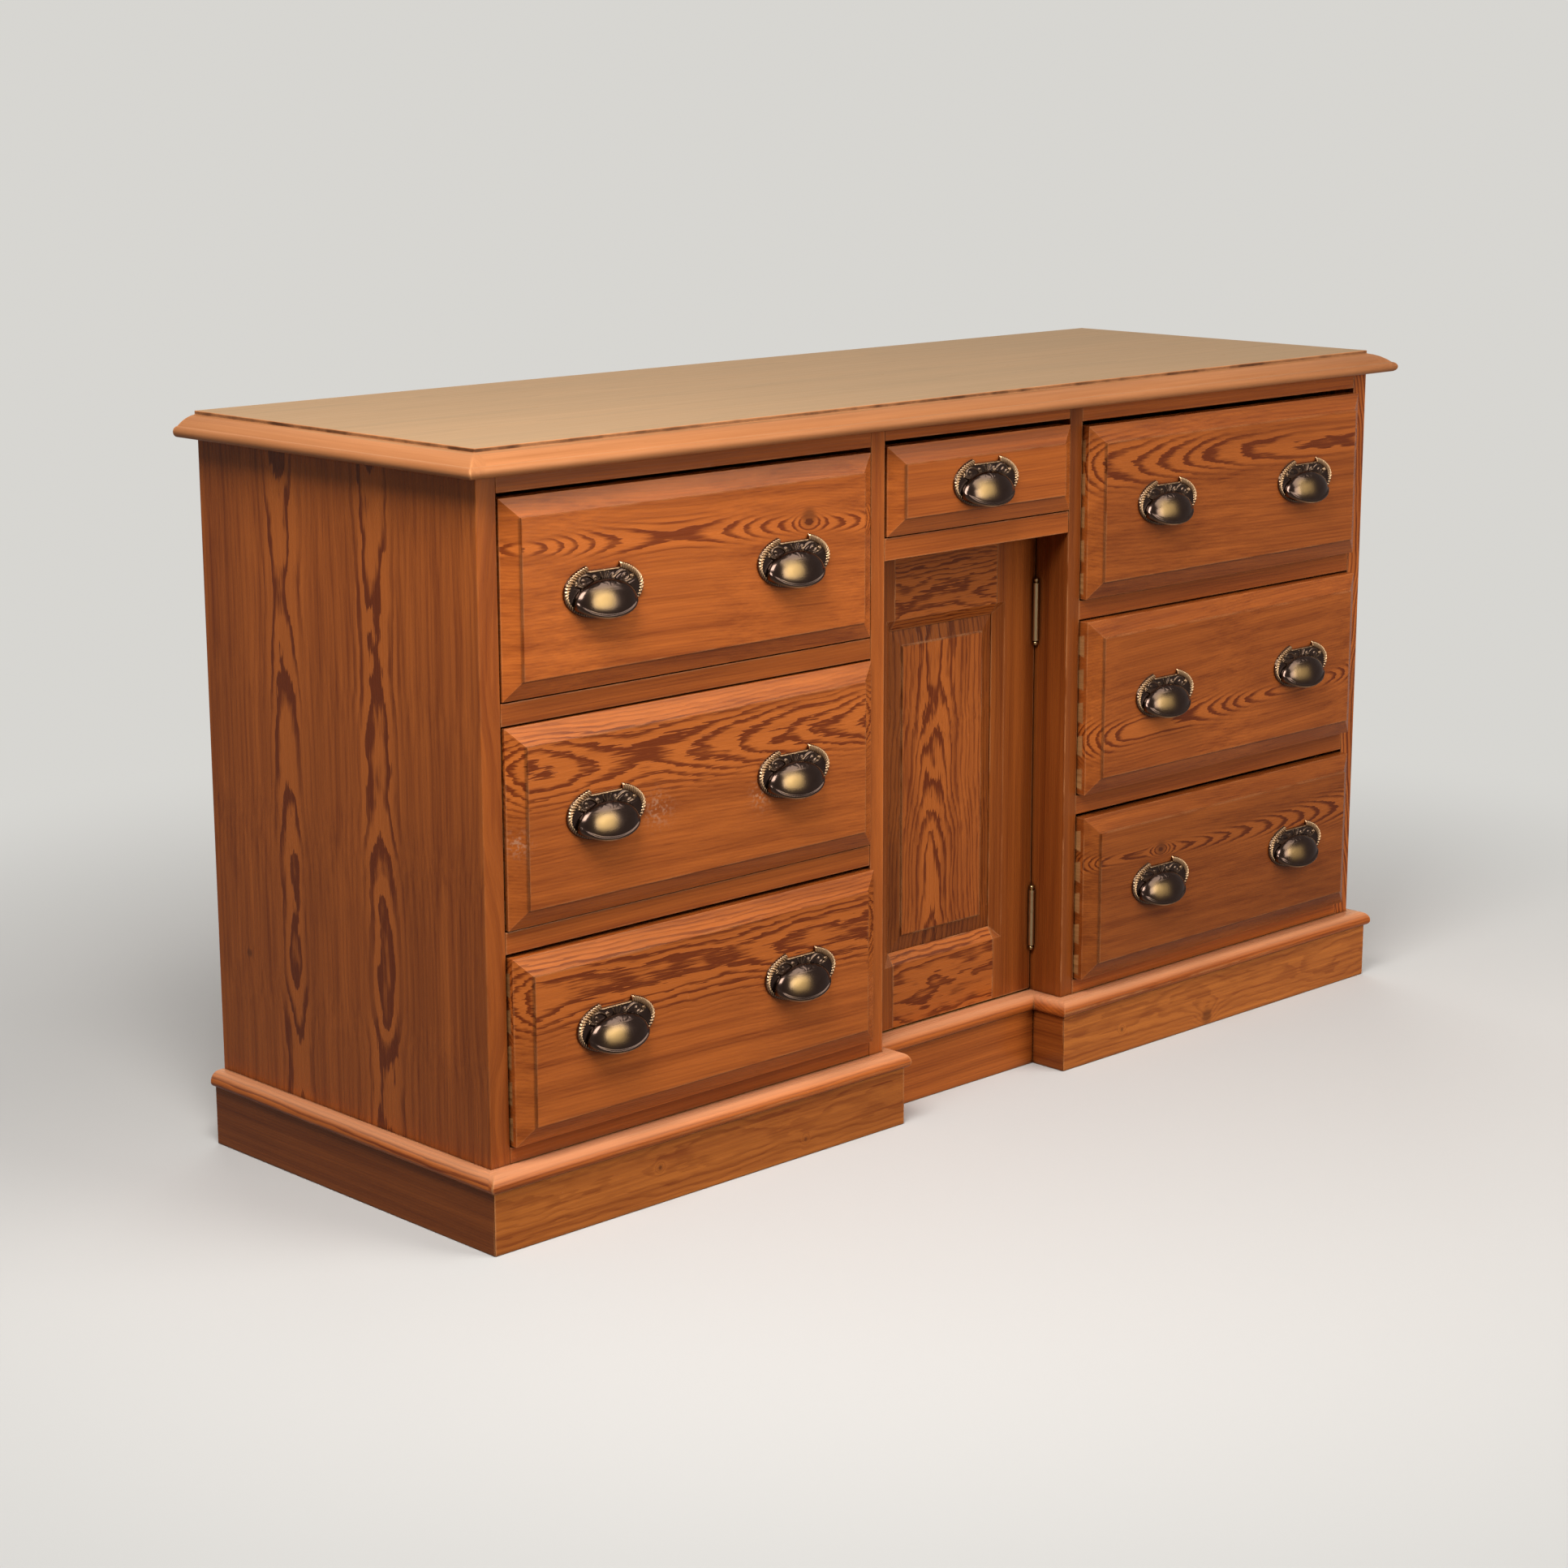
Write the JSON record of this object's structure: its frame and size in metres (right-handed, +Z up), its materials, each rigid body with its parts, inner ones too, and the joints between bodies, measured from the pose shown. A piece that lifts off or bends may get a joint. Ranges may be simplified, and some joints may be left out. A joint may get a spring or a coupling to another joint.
{
  "type": "dresser base",
  "caption": "Low pine dresser base with two banks of drawers, a small centre drawer over a recessed cupboard door, a moulded top, cup pulls and a stepped plinth.",
  "frame": {"origin": "on the floor, under the middle of the whole object's box", "axes": "+X to the right as seen from the front, -Y towards the front, +Z up"},
  "size_m": [1.532, 0.5336, 0.837],
  "materials": {
    "stained_pine": "orange-brown stained pitch pine with dark flame grain, satin, edges rubbed pale",
    "top_pine": "paler tan waxed pine, long straight grain, satin",
    "plain_pine": "bare planed pine, matte",
    "antique_bronze": "dark antiqued bronze, rubbed bright on the bowl and rim",
    "hinge_brass": "pale dull brass"
  },
  "bodies": {
    "carcass": {"back_boards": "plain_pine", "bottom_bearers": "plain_pine", "bottom_boards": "stained_pine", "centre_rail": "stained_pine", "door_stop": "plain_pine", "drawer_kickers": "plain_pine", "drawer_runners": "plain_pine", "drawer_stops": "plain_pine", "hinge_frame_leaves": "hinge_brass", "hinge_pins": "hinge_brass", "left_bank_rails": "stained_pine", "left_divider": "stained_pine", "left_end": "stained_pine", "plinth_back": "plain_pine", "plinth_blocks": "plain_pine", "plinth_centre": "stained_pine", "plinth_fronts": "stained_pine", "plinth_moulding": "stained_pine", "plinth_returns": "stained_pine", "plinth_sides": "stained_pine", "right_bank_rails": "stained_pine", "right_divider": "stained_pine", "right_end": "stained_pine", "top_board": "top_pine", "top_rails": "stained_pine"},
    "left_top_drawer": {"left_top_drawer_bottom": "plain_pine", "left_top_drawer_box": "plain_pine", "left_top_drawer_front": "stained_pine", "left_top_drawer_pulls": "antique_bronze"},
    "left_mid_drawer": {"left_mid_drawer_bottom": "plain_pine", "left_mid_drawer_box": "plain_pine", "left_mid_drawer_front": "stained_pine", "left_mid_drawer_pulls": "antique_bronze"},
    "left_low_drawer": {"left_low_drawer_bottom": "plain_pine", "left_low_drawer_box": "plain_pine", "left_low_drawer_front": "stained_pine", "left_low_drawer_pulls": "antique_bronze"},
    "centre_drawer": {"centre_drawer_bottom": "plain_pine", "centre_drawer_box": "plain_pine", "centre_drawer_front": "stained_pine", "centre_drawer_pulls": "antique_bronze"},
    "right_top_drawer": {"right_top_drawer_bottom": "plain_pine", "right_top_drawer_box": "plain_pine", "right_top_drawer_front": "stained_pine", "right_top_drawer_pulls": "antique_bronze"},
    "right_mid_drawer": {"right_mid_drawer_bottom": "plain_pine", "right_mid_drawer_box": "plain_pine", "right_mid_drawer_front": "stained_pine", "right_mid_drawer_pulls": "antique_bronze"},
    "right_low_drawer": {"right_low_drawer_bottom": "plain_pine", "right_low_drawer_box": "plain_pine", "right_low_drawer_front": "stained_pine", "right_low_drawer_pulls": "antique_bronze"},
    "door": {"door_hinge_stile": "stained_pine", "door_lock_stile": "stained_pine", "door_top_rail": "stained_pine", "door_bottom_rail": "stained_pine", "door_panel": "stained_pine", "door_knob": "antique_bronze", "hinge_door_leaves": "hinge_brass"}
  },
  "joints": [
    {"name": "left_top_drawer_slide", "type": "slide", "parent": "carcass", "child": "left_top_drawer", "axis": [0, -1, 0], "range_m": [-0.001, 0.36]},
    {"name": "left_mid_drawer_slide", "type": "slide", "parent": "carcass", "child": "left_mid_drawer", "axis": [0, -1, 0], "range_m": [-0.003, 0.36]},
    {"name": "left_low_drawer_slide", "type": "slide", "parent": "carcass", "child": "left_low_drawer", "axis": [0, -1, 0], "range_m": [-0.008, 0.36]},
    {"name": "centre_drawer_slide", "type": "slide", "parent": "carcass", "child": "centre_drawer", "axis": [0, -1, 0], "range_m": [-0.002, 0.36]},
    {"name": "right_top_drawer_slide", "type": "slide", "parent": "carcass", "child": "right_top_drawer", "axis": [0, -1, 0], "range_m": [-0.009, 0.36]},
    {"name": "right_mid_drawer_slide", "type": "slide", "parent": "carcass", "child": "right_mid_drawer", "axis": [0, -1, 0], "range_m": [-0.012, 0.36]},
    {"name": "right_low_drawer_slide", "type": "slide", "parent": "carcass", "child": "right_low_drawer", "axis": [0, -1, 0], "range_m": [-0.012, 0.36]},
    {"name": "door_swing", "type": "hinge", "parent": "carcass", "child": "door", "pos_m": [0.152, -0.17309, 0.37], "axis": [0, 0, 1], "range_deg": [0, 90]}
  ]
}
